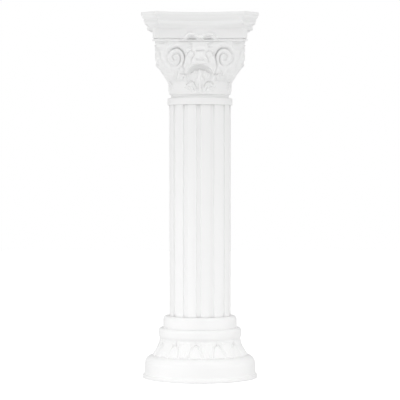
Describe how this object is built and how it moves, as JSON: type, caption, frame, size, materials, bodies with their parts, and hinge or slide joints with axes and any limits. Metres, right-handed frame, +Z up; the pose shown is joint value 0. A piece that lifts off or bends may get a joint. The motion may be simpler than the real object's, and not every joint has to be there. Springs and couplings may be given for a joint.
{
  "type": "plastic pedestal column",
  "caption": "Classical pedestal column in white moulded plastic: round foot, fluted round shaft, scrolled and leafy capital with a flat square top.",
  "frame": {"origin": "middle of the base's underside, on the floor", "axes": "+Z up along the column, -Y towards the front face of the capital"},
  "size_m": [0.28, 0.28, 0.88],
  "materials": {
    "white_plastic": "white moulded plastic, satin, with a fine moulding grain"
  },
  "bodies": {
    "root": {"base": "white_plastic", "shaft": "white_plastic", "capital": "white_plastic"}
  },
  "joints": []
}
